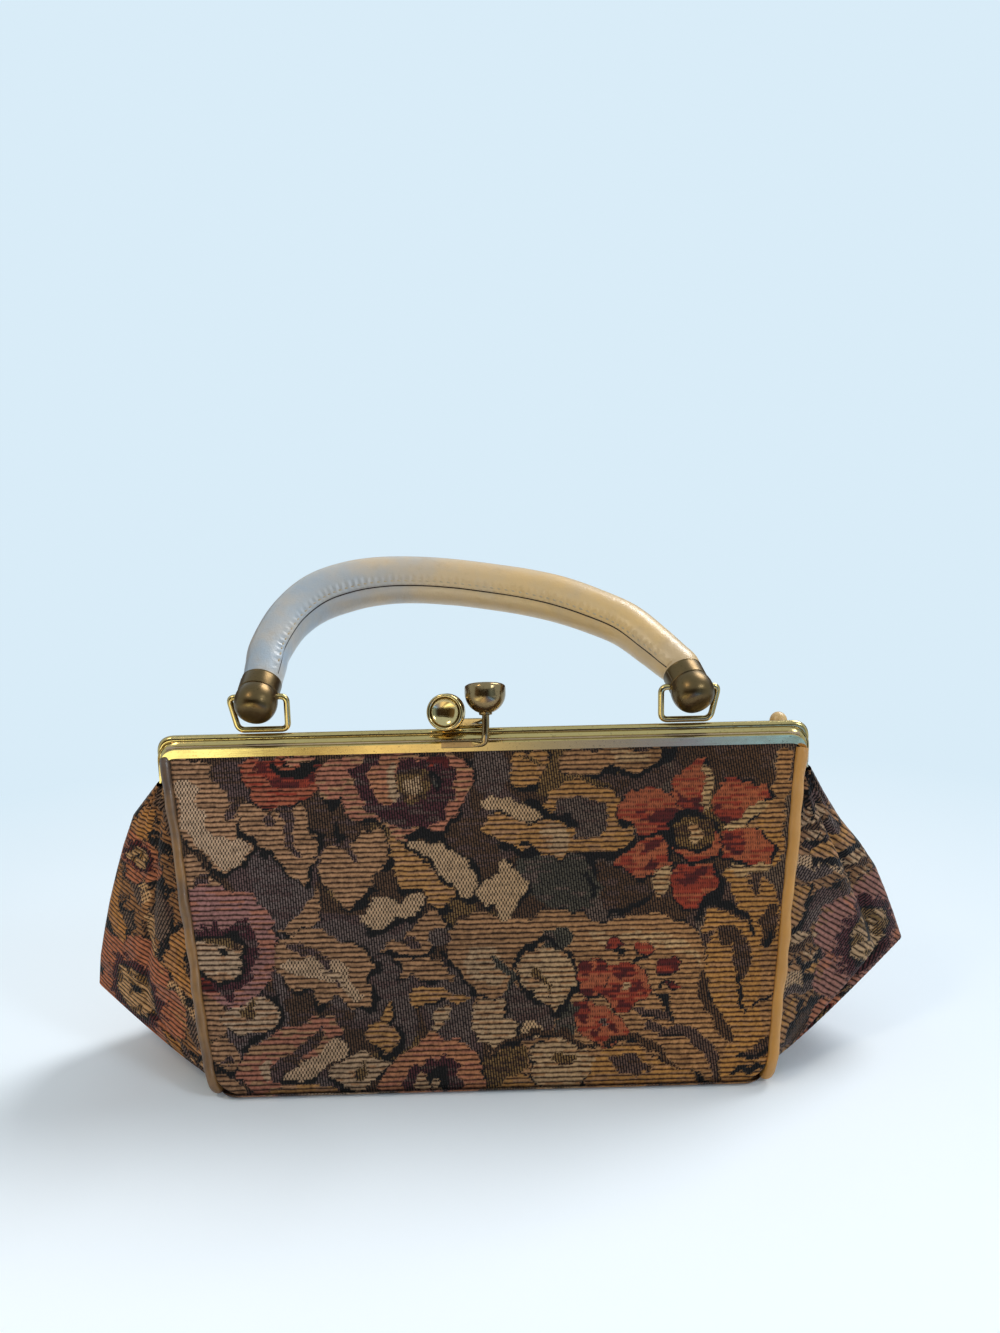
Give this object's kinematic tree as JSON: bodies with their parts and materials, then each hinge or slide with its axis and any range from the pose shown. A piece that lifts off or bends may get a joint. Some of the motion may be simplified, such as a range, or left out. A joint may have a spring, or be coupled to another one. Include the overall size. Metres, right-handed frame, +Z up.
{
  "type": "handbag",
  "caption": "Small tapestry handbag with a hinged brass frame, a kiss-lock clasp, V-folded ends, leather piping and a rolled leather handle that swings on wire loops.",
  "frame": {"origin": "middle of the base's underside, on the surface that the bag stands on", "axes": "+Z up; the frame runs along X, and the front with the clasp faces -Y"},
  "size_m": [0.2891, 0.0999, 0.17],
  "materials": {
    "tapestry": "jacquard-woven floral tapestry, ribbed cotton",
    "leather": "smooth cream leather with a soft sheen",
    "frame_brass": "satin brass with a light patina",
    "clasp_brass": "polished brass",
    "cap_brass": "dark antique brass, polished",
    "lining": "plain satin-faced lining cloth",
    "card": "pressed paperboard and paper cord"
  },
  "bodies": {
    "root": {"base_panel": "tapestry", "base_board": "card", "lining_base": "lining", "piping_base_left": "leather", "piping_base_right": "leather", "gusset_left": "tapestry", "gusset_right": "tapestry", "lining_gusset_left": "lining", "lining_gusset_right": "lining"},
    "front_side": {"front_panel": "tapestry", "card_front": "card", "lining_front": "lining", "piping_front_left": "leather", "piping_front_right": "leather"},
    "front_frame": {"front_rail": "frame_brass", "cord_front": "card", "clasp_front_strip": "clasp_brass", "clasp_front_cup": "clasp_brass"},
    "back_side": {"back_panel": "tapestry", "card_back": "card", "lining_back": "lining", "pocket": "lining", "piping_back_left": "leather", "piping_back_right": "leather"},
    "back_frame": {"back_rail": "frame_brass", "cord_back": "card", "clasp_back_bracket": "clasp_brass", "clasp_back_cup": "clasp_brass", "handle_loop_left": "frame_brass", "handle_loop_right": "frame_brass", "hinge_rivet_left": "cap_brass", "hinge_rivet_right": "cap_brass"},
    "handle": {"handle_grip": "leather", "handle_core": "card", "handle_cap_left": "cap_brass", "handle_cap_right": "cap_brass"}
  },
  "joints": [
    {"name": "back_panel_tilt", "type": "hinge", "parent": "root", "child": "back_side", "pos_m": [0, 0.041, 0.0032], "axis": [-1, 0, 0], "range_deg": [0, 11], "deforming": ["gusset_left", "gusset_right", "lining_gusset_left", "lining_gusset_right"]},
    {"name": "back_frame_turn", "type": "hinge", "parent": "back_side", "child": "back_frame", "pos_m": [0, 0.00435, 0.1072], "axis": [-1, 0, 0], "range_deg": [0, 22.3]},
    {"name": "front_panel_tilt", "type": "hinge", "parent": "root", "child": "front_side", "pos_m": [0, -0.041, 0.0032], "axis": [1, 0, 0], "range_deg": [0, 11.1]},
    {"name": "front_frame_turn", "type": "hinge", "parent": "front_side", "child": "front_frame", "pos_m": [0, -0.00435, 0.1072], "axis": [1, 0, 0], "range_deg": [0, 22.3]},
    {"name": "handle_swing", "type": "hinge", "parent": "back_frame", "child": "handle", "pos_m": [0, 0.00165, 0.1282], "axis": [-1, 0, 0], "range_deg": [-160, 60]}
  ],
  "couplings": [
    {"joint": "front_panel_tilt", "follows": "back_panel_tilt", "ratio": 1},
    {"joint": "back_frame_turn", "follows": "back_panel_tilt", "ratio": 2},
    {"joint": "front_frame_turn", "follows": "back_panel_tilt", "ratio": 2}
  ]
}
